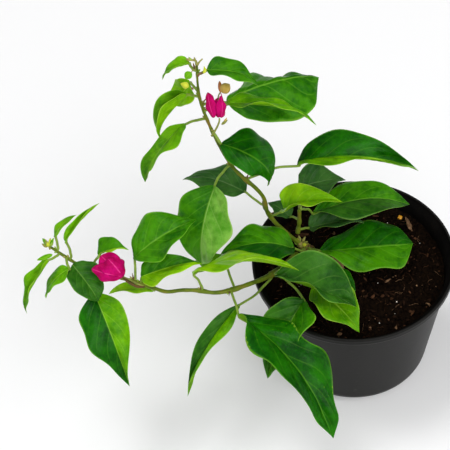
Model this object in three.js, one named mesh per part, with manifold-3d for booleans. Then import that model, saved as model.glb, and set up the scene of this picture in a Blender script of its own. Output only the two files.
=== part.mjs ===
// A young bougainvillea in a round nursery pot. Millimetres, +Z up.
// The origin is the middle of the pot's flat underside.
// Two thin stems leave a short woody trunk. One climbs and leans to -X, the other arches out over the rim.
// Each leaf is a thin blade on its own stalk. The soft tips and the blooms are plain closed masses.
import * as THREE from "three";
import { mergeVertices } from "three/addons/utils/BufferGeometryUtils.js";
import Module from "manifold-3d";

const wasm = await Module();
wasm.setup();

// ---- driving sizes ----
const POT_HEIGHT = 90;
const RIM_RADIUS = 60;
const BASE_RADIUS = 46;
const WALL = 1.5;
const LIP_HEIGHT = 4.5;
const LIP_STEP = 2.2;
const DRAIN_HOLES = 6;
const DRAIN_HOLE_RADIUS = 3.5;
const DRAIN_RING_RADIUS = 31;
const SOIL_LEVEL = 78;
const GAP = 0.35;
const UP = new THREE.Vector3(0, 0, 1);
const TRUNK_FOOT = [-25, 10];
const RING_SIDES = 8;
const STALK_RADIUS = 0.8;
const BLADE_HALF_THICKNESS = 0.4;

// ---- materials ----
const finish = (colour, roughness, metalness = 0) => {
  return new THREE.MeshStandardMaterial({ color: colour, roughness, metalness });
};
const POT_PLASTIC = finish(0x232326, 0.42);
const POTTING_SOIL = finish(0x2a1c15, 0.95);
const WOODY_BARK = finish(0x6d5a35, 0.8);
const GREEN_STEM = finish(0x6f7f35, 0.6);
const LEAF_DARK = finish(0x1f6a1c, 0.45);
const LEAF_LIGHT = finish(0x5fa51d, 0.45);
const BRACT = finish(0xd4117f, 0.6);
const YOUNG_TIP = finish(0x9aa52f, 0.6);

const plant = new THREE.Group();
const addNode = (name, geometry, material) => {
  const mesh = new THREE.Mesh(geometry, material);
  mesh.name = name;
  plant.add(mesh);
};

// ---- solids for cutting ----
function toManifold(geometry) {
  const bare = geometry.clone();
  bare.deleteAttribute("normal");
  bare.deleteAttribute("uv");
  const merged = mergeVertices(bare, 1e-4);
  return new wasm.Manifold(
    new wasm.Mesh({
      numProp: 3,
      vertProperties: merged.attributes.position.array,
      triVerts: new Uint32Array(merged.index.array),
    }),
  );
}

function fromManifold(solid) {
  const mesh = solid.getMesh();
  return new THREE.BufferGeometry()
    .setAttribute("position", new THREE.BufferAttribute(mesh.vertProperties, 3))
    .setIndex(new THREE.BufferAttribute(mesh.triVerts, 1));
}

// ---- pot and soil ----
const wallRadiusAt = (z) => {
  const top = RIM_RADIUS - LIP_STEP;
  return BASE_RADIUS + ((top - BASE_RADIUS) * z) / POT_HEIGHT;
};
const insideRadiusAt = (z) => wallRadiusAt(z) - WALL;

function turned(profile, segments) {
  const points = profile.map(([radius, z]) => new THREE.Vector2(radius, z));
  return new THREE.LatheGeometry(points, segments).rotateX(Math.PI / 2);
}

function potGeometry() {
  const lipFoot = POT_HEIGHT - LIP_HEIGHT;
  const shell = turned(
    [
      [0, 0],
      [BASE_RADIUS - 3, 0],
      [BASE_RADIUS - 0.8, 0.9],
      [wallRadiusAt(3), 3],
      [wallRadiusAt(lipFoot - 1), lipFoot - 1],
      [RIM_RADIUS - 0.3, lipFoot],
      [RIM_RADIUS, lipFoot + 1],
      [RIM_RADIUS, POT_HEIGHT - 0.8],
      [RIM_RADIUS - 0.8, POT_HEIGHT],
      [RIM_RADIUS - 2.4, POT_HEIGHT],
      [insideRadiusAt(POT_HEIGHT - 3), POT_HEIGHT - 3],
      [insideRadiusAt(3), 3],
      [insideRadiusAt(3) - 2, WALL],
      [0, WALL],
    ],
    48,
  );
  const drill = new THREE.CylinderGeometry(DRAIN_HOLE_RADIUS, DRAIN_HOLE_RADIUS, 4 * WALL, 12);
  drill.rotateX(Math.PI / 2);
  let solid = toManifold(shell);
  for (let i = 0; i < DRAIN_HOLES; i++) {
    const turn = (2 * Math.PI * i) / DRAIN_HOLES;
    const [x, y] = [DRAIN_RING_RADIUS * Math.cos(turn), DRAIN_RING_RADIUS * Math.sin(turn)];
    const hole = drill.clone().translate(x, y, 0);
    solid = solid.subtract(toManifold(hole));
  }
  return fromManifold(solid);
}

// The soil is level round the trunk and by the wall, and lumpy in between.
function soilGeometry() {
  const edge = insideRadiusAt(SOIL_LEVEL) - GAP;
  const ringRadii = [0.93, 0.8, 0.66, 0.52, 0.38, 0.25, 0.12].map((share) => share * edge);
  const geometry = turned(
    [
      [0, WALL + GAP],
      [insideRadiusAt(3) - 2 - GAP, WALL + GAP],
      [insideRadiusAt(4) - GAP, 4],
      [edge, SOIL_LEVEL],
      ...ringRadii.map((radius) => [radius, SOIL_LEVEL + 0.2]),
      [0, SOIL_LEVEL + 0.2],
    ],
    30,
  );
  const at = geometry.attributes.position;
  for (let i = 0; i < at.count; i++) {
    const [x, y, z] = [at.getX(i), at.getY(i), at.getZ(i)];
    if (z < SOIL_LEVEL + 0.1) continue;
    const fromTrunk = Math.hypot(x - TRUNK_FOOT[0], y - TRUNK_FOOT[1]);
    const calm = Math.min(1, Math.max(0, (fromTrunk - 9) / 8));
    const lump = 1.1 * Math.sin(x / 8 + 1) * Math.cos(y / 9) + 0.7 * Math.sin((x + 2 * y) / 7);
    at.setZ(i, SOIL_LEVEL + calm * lump);
  }
  return geometry;
}

// ---- limbs and leaves: a cylinder's grid laid ring by ring along a curve ----
// Each ring has a centre, the directions across and up, a half width, a half thickness and a lift of edges.
function ringedGeometry(rings) {
  const last = rings.length - 1;
  const geometry = new THREE.CylinderGeometry(1, 1, 1, RING_SIDES, last);
  const at = geometry.attributes.position;
  for (let i = 0; i < at.count; i++) {
    const ring = rings[Math.round((at.getY(i) + 0.5) * last)];
    const across = at.getX(i) * (ring.flat ? Math.abs(at.getX(i)) : 1);
    const lift = ring.lift ? ring.lift(across) : 0;
    const point = ring.centre
      .clone()
      .addScaledVector(ring.side, across * ring.halfWidth)
      .addScaledVector(ring.up, at.getZ(i) * ring.halfThickness + lift);
    at.setXYZ(i, point.x, point.y, point.z);
  }
  return geometry;
}

// Unit tangents along a list of points, from the neighbours of each.
const tangentsOf = (points) =>
  points.map((_, i) => {
    const before = points[Math.max(0, i - 1)];
    const after = points[Math.min(points.length - 1, i + 1)];
    return after.clone().sub(before).normalize();
  });

const squareTo = (direction, tangent) =>
  direction.clone().addScaledVector(tangent, -direction.dot(tangent)).normalize();

class Stem {
  constructor(name, route, radii, rows, levelFoot = false) {
    this.name = name;
    this.levelFoot = levelFoot;
    this.curve = new THREE.CatmullRomCurve3(
      route.map((p) => new THREE.Vector3(...p)),
      false,
      "centripetal",
    );
    this.radii = radii;
    this.rows = rows;
  }

  radiusAt(share) {
    const spot = share * (this.radii.length - 1);
    const i = Math.min(this.radii.length - 2, Math.floor(spot));
    return this.radii[i] + (this.radii[i + 1] - this.radii[i]) * (spot - i);
  }

  geometry() {
    const shares = Array.from({ length: this.rows + 1 }, (_, i) => i / this.rows);
    let side = new THREE.Vector3(1, 0, 0);
    const rings = shares.map((share) => {
      const tangent = share === 0 && this.levelFoot ? UP.clone() : this.curve.getTangentAt(share);
      side = squareTo(side, tangent);
      const radius = this.radiusAt(share);
      return {
        centre: this.curve.getPointAt(share),
        side: side.clone(),
        up: side.clone().cross(tangent),
        halfWidth: radius,
        halfThickness: radius,
      };
    });
    return ringedGeometry(rings);
  }
}

const trunkTop = [-31, 8, 91];
// The foot of the trunk is cut level with the soil.
const trunk = new Stem(
  "trunk",
  [[...TRUNK_FOOT, SOIL_LEVEL + GAP], [-25.4, 9.8, 81], [-28, 9, 86], trunkTop],
  [5.4, 3.8, 3.2, 2.7],
  6,
  true,
);

const stems = {
  upper: new Stem(
    "stem_upper",
    [
      [-31.6, 8, 91.8],
      [-38, 8, 100],
      [-49, 6, 123],
      [-51, 6, 138],
      [-65, 6, 160],
      [-74, 5, 189],
      [-79, 6, 217],
      [-78, 7, 238],
    ],
    [2.3, 2.1, 1.9, 1.7, 1.5, 1.3, 1.1, 0.8],
    16,
  ),
  left: new Stem(
    "stem_left",
    [
      [-33.5, 4.2, 86.5],
      [-45, -17, 96],
      [-58, -31, 104],
      [-75, -42, 110],
      [-91, -43, 114],
      [-104, -46, 116],
      [-118, -43, 120],
      [-137, -42, 126],
      [-150, -40, 131],
      [-166, -37, 145],
    ],
    [2.2, 2.0, 1.8, 1.6, 1.5, 1.4, 1.3, 1.1, 1, 0.8],
    19,
  ),
  shoot: new Stem(
    "stem_side_shoot",
    [
      [-32.6, 9.6, 100],
      [-31.4, 11.5, 108],
      [-31, 12, 118],
    ],
    [1.5, 1.3, 1.1],
    6,
  ),
  trunk,
};

// ---- leaves ----
// Half width of an egg-shaped blade with a drawn-out tip, from 0 at the tip to 1 at its widest.
const bladeShape = (u, widest, point) => {
  const rise = (point * widest) / (1 - widest);
  const raw = (v) => Math.pow(v, rise) * Math.pow(1 - v, point);
  return raw(u) / raw(widest);
};
const BLADE_ROWS = [0.02, 0.09, 0.19, 0.32, 0.46, 0.6, 0.74, 0.87, 0.995];

// A leaf is given by the stem that bears it and how far up that stem, the foot of its blade, the run from
// there to the tip, and its width. roll turns the face round the blade, sag bows the blade along its face,
// hook drops the last third, and fold lifts the edges or drops them. widest says how far along the blade is
// broadest, and point how drawn out its tip is.
function leafGeometry(leaf) {
  const { on, at, foot, run, wide } = leaf;
  const { roll = 0, sag = 0.1, hook = 0.05, fold = 12, widest = 0.31, point = 1.3 } = leaf;
  const stem = stems[on];
  const node = stem.curve.getPointAt(at);
  const grain = stem.curve.getTangentAt(at);
  const start = new THREE.Vector3(...foot);
  const reach = new THREE.Vector3(...run);
  const length = reach.length();
  const heading = reach.clone().normalize();

  const level = heading.clone().cross(UP).normalize();
  const side = level.applyAxisAngle(heading, THREE.MathUtils.degToRad(roll));
  const face = side.clone().cross(heading);

  const leaving = start.clone().sub(node).normalize();
  const outward = squareTo(leaving, grain);
  const clear = stem.radiusAt(at) + GAP + STALK_RADIUS * Math.abs(leaving.dot(grain));
  const stalkFoot = node.clone().addScaledVector(outward, clear);
  const bendOut = stalkFoot.clone().lerp(start, 0.5);
  bendOut.addScaledVector(outward, 0.12 * stalkFoot.distanceTo(start));
  const centres = [stalkFoot, bendOut];
  for (const u of BLADE_ROWS) {
    const drop = -sag * 4 * u * (1 - u) + hook * Math.pow(Math.max(0, (u - 0.6) / 0.4), 2);
    centres.push(
      start
        .clone()
        .addScaledVector(reach, u)
        .addScaledVector(face, -drop * length),
    );
  }

  const tangents = tangentsOf(centres);
  const rings = centres.map((centre, i) => {
    const u = BLADE_ROWS[i - 2];
    if (u === undefined) {
      const stalkSide = squareTo(side, tangents[i]);
      return {
        centre,
        side: stalkSide,
        up: stalkSide.clone().cross(tangents[i]),
        halfWidth: STALK_RADIUS,
        halfThickness: STALK_RADIUS,
      };
    }
    const across = squareTo(side, tangents[i]);
    const half = Math.max(0.5, (bladeShape(u, widest, point) * wide) / 2);
    const rise = Math.sin(THREE.MathUtils.degToRad(fold)) * half;
    return {
      centre,
      side: across,
      up: across.clone().cross(tangents[i]),
      flat: true,
      halfWidth: Math.max(0.5, half * Math.cos(THREE.MathUtils.degToRad(fold))),
      halfThickness: BLADE_HALF_THICKNESS,
      lift: (a) => rise * Math.abs(a),
    };
  });
  return ringedGeometry(rings);
}

const LEAVES = {
  // On the upper stem, from its tip down.
  leaf_upper_01: { on: "upper", at: 0.97, foot: [-82, 8, 238], run: [-16, 1, -12], wide: 9, fold: 25 },
  leaf_upper_02: {
    on: "upper", at: 0.96, foot: [-73, 6, 235], run: [26, -1, -10], wide: 15,
    fold: 22, sag: 0.12,
  },
  leaf_upper_03: { on: "upper", at: 0.88, foot: [-85, 16, 217], run: [-16, 2, -17], wide: 13, sag: -0.1 },
  leaf_upper_04: { on: "upper", at: 0.86, foot: [-86, 8, 216], run: [-18, -5, -29], wide: 22, fold: 30 },
  leaf_upper_05: {
    on: "upper", at: 0.76, foot: [-89, 8, 194], run: [-30, -3, -44], wide: 22,
    roll: -30,
  },
  leaf_upper_06: {
    on: "upper", at: 0.8, foot: [-64, 3, 214], run: [46, -1, -13], wide: 16,
    roll: -25, fold: 5,
  },
  leaf_upper_07: {
    on: "upper", at: 0.82, foot: [-66, 13, 205], run: [48, 22, -1], wide: 43,
    fold: -36, widest: 0.46, point: 0.6,
  },
  leaf_upper_08: {
    on: "upper", at: 0.7, foot: [-70, 0, 187], run: [24, 3, -38], wide: 34,
    roll: 32, fold: -20, sag: 0.3,
  },
  leaf_upper_09: { on: "upper", at: 0.27, foot: [-61, 11, 136], run: [-40, 16, -6], wide: 22 },
  leaf_upper_10: {
    on: "upper", at: 0.52, foot: [-77, 1, 152], run: [-10, -25, -41], wide: 34,
    widest: 0.4, point: 0.9,
  },
  leaf_upper_11: {
    on: "upper", at: 0.42, foot: [-31, 18, 150], run: [70, 13, -16], wide: 34,
    fold: 20, sag: 0.12, widest: 0.36, point: 1.1,
  },
  leaf_upper_12: {
    on: "upper", at: 0.21, foot: [-39, 4, 128], run: [33, 1, 7], wide: 25,
    fold: 42, widest: 0.2,
  },
  // On the side shoot and the crown of the trunk.
  leaf_crown_01: { on: "shoot", at: 0.9, foot: [-32, 34, 112], run: [28, 10, -2], wide: 26 },
  leaf_crown_02: {
    on: "shoot", at: 0.97, foot: [-24, 20, 106], run: [59, 17, -9], wide: 32,
    widest: 0.48, point: 1.2,
  },
  leaf_crown_03: { on: "shoot", at: 0.1, foot: [-26, 16, 97], run: [34, 5, 0], wide: 20, fold: 30 },
  leaf_crown_04: {
    on: "trunk", at: 0.7, foot: [-19, -1, 97], run: [55, 10, -3], wide: 37,
    fold: 5, sag: -0.05, widest: 0.58, point: 0.55,
  },
  leaf_crown_05: {
    on: "trunk", at: 0.92, foot: [-34, -6, 106], run: [-40, -16, 16], wide: 27,
    widest: 0.4, point: 1,
  },
  leaf_crown_06: {
    on: "trunk", at: 0.5, foot: [-23, -24, 94], run: [27, -31, -1], wide: 26,
    widest: 0.45,
  },
  leaf_crown_07: { on: "trunk", at: 0.4, foot: [-11, -11, 88], run: [13, -12, -1], wide: 12 },
  leaf_crown_08: { on: "left", at: 0.15, foot: [-27, -41, 102], run: [-22, -33, -31], wide: 30 },
  leaf_crown_09: { on: "shoot", at: 0.5, foot: [-37, 18, 105], run: [-14, 9, 3], wide: 12 },
  // On the left stem, from the trunk out to its tip.
  leaf_left_01: {
    on: "left", at: 0.13, foot: [-43, -34, 117], run: [46, -12, -12], wide: 42,
    fold: 38, sag: 0, widest: 0.42, point: 1.1,
  },
  leaf_left_02: {
    on: "left", at: 0.17, foot: [-64, -42, 99], run: [-32, -39, -38], wide: 22,
    fold: 25, widest: 0.4,
  },
  leaf_left_03: {
    on: "left", at: 0.36, foot: [-63, -54, 106], run: [55, -56, -34], wide: 37,
    fold: 24, roll: -18, widest: 0.45, point: 1.1,
  },
  leaf_left_04: { on: "left", at: 0.34, foot: [-71, -25, 110], run: [-22, 14, -10], wide: 13 },
  leaf_left_05: {
    on: "left", at: 0.46, foot: [-88, -40, 124], run: [59, 3, 5], wide: 26,
    roll: -44, fold: 6,
  },
  leaf_left_06: { on: "left", at: 0.67, foot: [-117, -42, 124], run: [34, 8, 4], wide: 18, fold: 25 },
  leaf_left_07: {
    on: "left", at: 0.69, foot: [-121, -35, 131], run: [34, 20, 12], wide: 31,
    widest: 0.42,
  },
  leaf_left_08: { on: "left", at: 0.64, foot: [-112, -40, 109], run: [-30, 6, -11], wide: 9 },
  leaf_left_09: {
    on: "left", at: 0.83, foot: [-143, -51, 122], run: [19, -36, -42], wide: 23,
    widest: 0.36,
  },
  leaf_left_10: {
    on: "left", at: 0.84, foot: [-141, -34, 133], run: [18, 0, 6], wide: 14,
    fold: 20, sag: 0.18,
  },
  leaf_left_11: {
    on: "left", at: 0.88, foot: [-154, -42, 135], run: [15, -16, -12], wide: 19,
    widest: 0.4, point: 0.8,
  },
  leaf_left_12: { on: "left", at: 0.93, foot: [-155, -46, 137], run: [-17, -7, -19], wide: 9 },
  leaf_left_13: { on: "left", at: 0.92, foot: [-157, -35, 145], run: [20, 12, 21], wide: 9, fold: 25 },
  leaf_left_14: { on: "left", at: 0.97, foot: [-164, -31, 146], run: [13, 7, 11], wide: 8 },
  leaf_left_15: {
    on: "left", at: 0.96, foot: [-166, -44, 142], run: [-19, -13, -34], wide: 11,
    fold: 20,
  },
};

// ---- blooms and soft tips ----
// A closed mass with three lobes, narrowing to its foot and to its top.
function lobedMass(centre, [long, wide, deep], turn) {
  const geometry = new THREE.SphereGeometry(1, 12, 8);
  const at = geometry.attributes.position;
  for (let i = 0; i < at.count; i++) {
    const [x, y, z] = [at.getX(i), at.getY(i), at.getZ(i)];
    const lobe = 1 + 0.12 * Math.cos(3 * Math.atan2(z, x)) * (1 - y * y);
    at.setXYZ(i, (x * lobe * wide) / 2, (y * long) / 2, (z * lobe * deep) / 2);
  }
  return geometry.rotateX(Math.PI / 2).applyQuaternion(turn).translate(...centre);
}
const leaningTo = (x, y, z) =>
  new THREE.Quaternion().setFromUnitVectors(UP, new THREE.Vector3(x, y, z).normalize());

function build() {
  addNode("pot", potGeometry(), POT_PLASTIC);
  addNode("soil", soilGeometry(), POTTING_SOIL);
  addNode("trunk", trunk.geometry(), WOODY_BARK);
  for (const stem of [stems.upper, stems.left, stems.shoot]) {
    addNode(stem.name, stem.geometry(), GREEN_STEM);
  }
  for (const [name, leaf] of Object.entries(LEAVES)) {
    addNode(name, leafGeometry(leaf), leaf.wide > 20 ? LEAF_DARK : LEAF_LIGHT);
  }
  addNode("bloom_left", lobedMass([-131, -50, 139], [18, 19, 14], leaningTo(-0.3, -0.2, 1)), BRACT);
  addNode("bloom_upper", lobedMass([-69, -5, 219], [14, 11, 8], leaningTo(0, 0, 1)), BRACT);
  addNode("tip_left", lobedMass([-169, -37, 149], [8, 6, 5], leaningTo(-0.3, 0, 1)), YOUNG_TIP);
  addNode("tip_upper", lobedMass([-78, 7, 242], [6, 9, 6], leaningTo(0, 0, 1)), YOUNG_TIP);
}

build();
export default plant;
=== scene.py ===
"""A young bougainvillea in a round nursery pot: its looks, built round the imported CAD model. Metres, +Z up.

Every stem and leaf of the CAD model is a closed tube of rings. The script reads those rings back from the
frame's meshes, lays fine surfaces through them, and adds what the plain solids leave out.
"""

import math
import random

import bmesh
import bpy
import numpy as np
from mathutils import Matrix, Vector, noise
from numpy.linalg import norm


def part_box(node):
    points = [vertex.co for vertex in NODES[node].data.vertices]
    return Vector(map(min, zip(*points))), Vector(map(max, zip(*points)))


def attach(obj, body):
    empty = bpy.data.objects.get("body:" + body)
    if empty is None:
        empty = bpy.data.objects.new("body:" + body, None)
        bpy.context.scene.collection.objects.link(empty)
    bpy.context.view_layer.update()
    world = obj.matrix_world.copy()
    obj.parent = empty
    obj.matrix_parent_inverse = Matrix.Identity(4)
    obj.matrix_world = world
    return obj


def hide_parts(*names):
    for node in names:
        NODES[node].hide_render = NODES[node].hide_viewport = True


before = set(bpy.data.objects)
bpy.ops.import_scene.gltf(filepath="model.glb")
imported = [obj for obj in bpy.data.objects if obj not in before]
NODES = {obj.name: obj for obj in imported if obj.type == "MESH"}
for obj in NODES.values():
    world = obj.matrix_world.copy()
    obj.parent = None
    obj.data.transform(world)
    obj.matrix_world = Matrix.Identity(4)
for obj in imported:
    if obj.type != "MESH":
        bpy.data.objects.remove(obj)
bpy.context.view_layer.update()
MM = 0.001
BODY = "root"
STEM_NAMES = ("trunk", "stem_upper", "stem_left", "stem_side_shoot")
LEAF_NAMES = sorted(node for node in NODES if node.startswith("leaf_"))


def new_object(name, data):
    body = bpy.data.objects.new(name, data)
    bpy.context.scene.collection.objects.link(body)
    return body


# ---- camera, floor and light ----
# Where the camera stands, which way it looks, and which way is right in its picture.
CAMERA_PLACE = (0, -0.4029, 0.6087)
CAMERA_FORWARD = (-0.1154, 0.6310, -0.7672)
CAMERA_RIGHT = (0.9933, 0.0754, -0.0874)
LENS, SENSOR_WIDTH = 88, 36

FLOOR_REACH = 6.0
FLOOR_COLOUR = (0.865, 0.865, 0.87, 1)
SKY = 0.72
SKY_AT_BACK = 0.25 * SKY
PLANT_MIDDLE = (-0.05, 0, 0.1)


def make_camera():
    """Looks down on the pot from the front, with the pot low on the right of the picture."""
    data = bpy.data.cameras.new("camera")
    data.lens = LENS
    data.sensor_width = SENSOR_WIDTH
    data.clip_start, data.clip_end = 0.01, 20
    camera = new_object("camera", data)
    forward = Vector(CAMERA_FORWARD).normalized()
    up = Vector(CAMERA_RIGHT).normalized().cross(forward).normalized()
    right = forward.cross(up)
    turn = Matrix((right, up, -forward)).transposed()
    camera.matrix_world = Matrix.Translation(CAMERA_PLACE) @ turn.to_4x4()
    bpy.context.scene.camera = camera


def add_light(name, place, size, power):
    """A square lamp that faces the plant, size in metres and power in watts."""
    data = bpy.data.lights.new(name, "AREA")
    data.energy, data.size = power, size
    light = new_object(name, data)
    light.location = place
    light.rotation_euler = (Vector(PLANT_MIDDLE) - Vector(place)).to_track_quat("-Z", "Y").to_euler()


def make_studio():
    """A wide white floor, an even white sky that is dimmer at the back, and three soft lamps."""
    corners = [(x * FLOOR_REACH, y * FLOOR_REACH, 0) for x, y in ((-1, -1), (1, -1), (1, 1), (-1, 1))]
    mesh = bpy.data.meshes.new("floor")
    mesh.from_pydata(corners, [], [(0, 1, 2, 3)])
    material, _, shader = new_material("studio_floor")
    shader.inputs["Base Color"].default_value = FLOOR_COLOUR
    shader.inputs["Roughness"].default_value = 0.7
    shader.inputs["Specular IOR Level"].default_value = 0.2
    mesh.materials.append(material)
    new_object("floor", mesh)

    world = bpy.data.worlds.new("studio")
    world.use_nodes = True
    tree = world.node_tree
    background = tree.nodes["Background"]
    background.inputs["Color"].default_value = (1, 1, 1, 1)
    where = tree.nodes.new("ShaderNodeTexCoord").outputs["Generated"]
    high_at_back = (0, 0.78, 0.62)
    back = add(tree, "VectorMath", {0: where, 1: high_at_back}, operation="DOT_PRODUCT").outputs["Value"]
    limits = {"From Min": 0.35, "From Max": 0.9, "To Min": SKY, "To Max": SKY_AT_BACK}
    dim = add(tree, "MapRange", {"Value": back, **limits})
    tree.links.new(dim.outputs[0], background.inputs["Strength"])
    bpy.context.scene.world = world
    add_light("key", (-0.6, 0.25, 2.3), 0.8, 21)
    add_light("fill", (1.5, -1.2, 1.9), 1.6, 29)
    add_light("front", (0.5, -1.8, 1.6), 1.2, 10)
    bpy.context.scene.view_settings.view_transform = "Standard"


# ---- materials ----
def plug(tree, socket, value):
    """Sets a shader socket to a constant, or feeds it from another socket."""
    if isinstance(value, bpy.types.NodeSocket):
        tree.links.new(value, socket)
    else:
        socket.default_value = value


def add(tree, kind, inputs=None, **settings):
    """Adds a shader node. inputs maps a socket's name or number to a value or to the socket that feeds it."""
    node = tree.nodes.new("ShaderNode" + kind)
    for key, value in settings.items():
        setattr(node, key, value)
    for key, value in (inputs or {}).items():
        plug(tree, node.inputs[key], value)
    return node


def new_material(name):
    material = bpy.data.materials.new(name)
    material.use_nodes = True
    return material, material.node_tree, material.node_tree.nodes["Principled BSDF"]


def maths(tree, operation, *values):
    return add(tree, "Math", dict(enumerate(values)), operation=operation).outputs[0]


def ramp(tree, value, stops):
    """A colour ramp through (place, (r, g, b)) stops."""
    node = add(tree, "ValToRGB", {"Fac": value})
    elements = node.color_ramp.elements
    while len(elements) < len(stops):
        elements.new(0.5)
    for element, (place, colour) in zip(elements, stops):
        element.position = place
        element.color = (*colour, 1)
    return node.outputs["Color"]


def mix(tree, share, a, b):
    """Colour a with a share of colour b over it. Each is (r, g, b) or a socket."""
    a, b = (c if isinstance(c, bpy.types.NodeSocket) else (*c, 1) for c in (a, b))
    return add(tree, "MixRGB", {"Fac": share, "Color1": a, "Color2": b}).outputs["Color"]


def place_on_piece(tree):
    return tree.nodes.new("ShaderNodeTexCoord").outputs["Object"]


def speckle(tree, scale, detail=3.0, roughness=0.55):
    """Noise of about 1/scale metres."""
    settings = {"Vector": place_on_piece(tree), "Scale": scale, "Detail": detail, "Roughness": roughness}
    return add(tree, "TexNoise", settings).outputs["Fac"]


def step(tree, value, low, high):
    """0 below low, 1 above high, smooth between. low may be above high."""
    limits = {"Value": value, "From Min": low, "From Max": high}
    return add(tree, "MapRange", limits, interpolation_type="SMOOTHSTEP").outputs[0]


def blotch(tree, colour, mask, share, tint):
    """colour, with tint over it by share where mask is 1."""
    return mix(tree, maths(tree, "MULTIPLY", mask, share), colour, tint)


def shade(colour, share):
    return tuple(share * channel for channel in colour)


def finish(tree, shader, colour, height, distance, roughness, specular):
    """Wires up a material: its colour, a bump distance metres deep, its roughness and its specular level."""
    tree.links.new(colour, shader.inputs["Base Color"])
    relief = add(tree, "Bump", {"Height": height, "Distance": distance})
    tree.links.new(relief.outputs[0], shader.inputs["Normal"])
    plug(tree, shader.inputs["Roughness"], roughness)
    shader.inputs["Specular IOR Level"].default_value = specular


def let_light_in(shader, share, reach, depth):
    """Light goes a little way into the material, by reach for red, green and blue times depth metres."""
    shader.inputs["Subsurface Weight"].default_value = share
    shader.inputs["Subsurface Radius"].default_value = reach
    shader.inputs["Subsurface Scale"].default_value = depth


# Side veins leave the midrib at this many steps along a blade, and lean and arch towards its tip.
VEIN_PAIRS = 6
VEIN_LEAN = 0.26
VEIN_ARCH = 0.10
LEAF_RELIEF = 0.06 * MM


def vein_masks(tree):
    """(midrib, side veins, distance from the midrib) over a leaf's map: across is x, along is y."""
    place = add(tree, "SeparateXYZ", {0: add(tree, "UVMap", uv_map="blade").outputs[0]})
    off = maths(tree, "ABSOLUTE", maths(tree, "MULTIPLY_ADD", place.outputs[0], 2.0, -1.0))
    lean = maths(tree, "MULTIPLY", maths(tree, "MULTIPLY_ADD", off, VEIN_ARCH, VEIN_LEAN), off)
    turns = maths(tree, "MULTIPLY", maths(tree, "SUBTRACT", place.outputs[1], lean), VEIN_PAIRS)
    from_vein = maths(tree, "ABSOLUTE", maths(tree, "SUBTRACT", maths(tree, "FRACT", turns), 0.5))
    side = maths(tree, "MULTIPLY", step(tree, from_vein, 0.43, 0.5), step(tree, off, 1.0, 0.5))
    rib = step(tree, off, 0.05, 0.012)
    return rib, side, off


def leaf_material(name, dark, light, vein, roughness):
    """A leaf's face: mottled green, with a pale midrib, side veins and rim, and a fine net in relief."""
    material, tree, shader = new_material(name)
    rib, side, off = vein_masks(tree)
    mottle = step(tree, speckle(tree, 60, 5.0, 0.62), 0.36, 0.64)
    fine = step(tree, speckle(tree, 380), 0.35, 0.7)
    patch = step(tree, speckle(tree, 150), 0.5, 0.72)
    colour = mix(tree, mottle, dark, light)
    colour = blotch(tree, colour, fine, 0.3, light)
    colour = blotch(tree, colour, patch, 0.45, shade(dark, 0.6))
    colour = blotch(tree, colour, side, 0.2, vein)
    colour = blotch(tree, colour, rib, 0.5, vein)
    colour = blotch(tree, colour, step(tree, off, 0.93, 1.0), 0.75, vein)
    net = add(tree, "TexVoronoi", {"Vector": place_on_piece(tree), "Scale": 520}, feature="DISTANCE_TO_EDGE")
    ridges = maths(tree, "MULTIPLY", step(tree, net.outputs["Distance"], 0.0, 0.25), 0.6)
    worn = maths(tree, "MULTIPLY_ADD", speckle(tree, 130), 0.22, roughness - 0.11)
    finish(tree, shader, colour, maths(tree, "ADD", ridges, fine), LEAF_RELIEF, worn, 0.075)
    let_light_in(shader, 0.12, (0.4, 1.0, 0.1), 1.5 * MM)
    return material


def plain_material(
    name, colours, scale, roughness, relief=0.1, specular=0.3, detail=4.0, places=(0.3, 0.7)
):
    """Mottled through the colours, each at its place on the noise, with a bump of relief millimetres."""
    material, tree, shader = new_material(name)
    spots = speckle(tree, scale, detail, 0.5)
    colour = ramp(tree, spots, list(zip(places, colours)))
    worn = maths(tree, "MULTIPLY_ADD", spots, 0.3, roughness - 0.15)
    finish(tree, shader, colour, spots, relief * MM, worn, specular)
    return material


# ---- meshes ----
def make_piece(name, points, faces, face_slots, materials, replaces=(), uvs=None):
    """A smooth-shaded piece that rides on the pot's body. uvs is one (x, y) for each point."""
    mesh = bpy.data.meshes.new(name)
    mesh.from_pydata([tuple(p) for p in points], [], faces)
    for material in materials:
        mesh.materials.append(material)
    mesh.polygons.foreach_set("material_index", face_slots)
    mesh.polygons.foreach_set("use_smooth", [True] * len(mesh.polygons))
    if uvs is not None:
        layer = mesh.uv_layers.new(name="blade")
        for loop in mesh.loops:
            layer.data[loop.index].uv = uvs[loop.vertex_index]
    mesh.update()
    piece = new_object(name, mesh)
    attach(piece, BODY)
    if replaces:
        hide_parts(*replaces)
    return piece


class Parts:
    """Points and faces gathered from several bodies, to become one piece."""

    def __init__(self):
        self.points, self.faces, self.slots, self.uvs = [], [], [], []

    def add(self, points, faces, slot=0, uvs=None):
        start = len(self.points)
        self.points.extend(tuple(p) for p in points)
        self.faces.extend(tuple(v + start for v in face) for face in faces)
        self.slots.extend([slot] * len(faces) if isinstance(slot, int) else slot)
        self.uvs.extend(uvs if uvs is not None else [(0.5, 0.0)] * len(points))

    def piece(self, name, materials, slot, replaces=()):
        make_piece(name, self.points, self.faces, self.slots, materials, replaces, self.uvs)


def grid_faces(rows, columns, closed=False):
    """Faces of a grid of points in row order, each turned to face along (across x along)."""
    last = columns if closed else columns - 1
    cells = [(r * columns, c, (c + 1) % columns) for r in range(rows - 1) for c in range(last)]
    return [(row + c, row + d, row + columns + d, row + columns + c) for row, c, d in cells]


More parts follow.
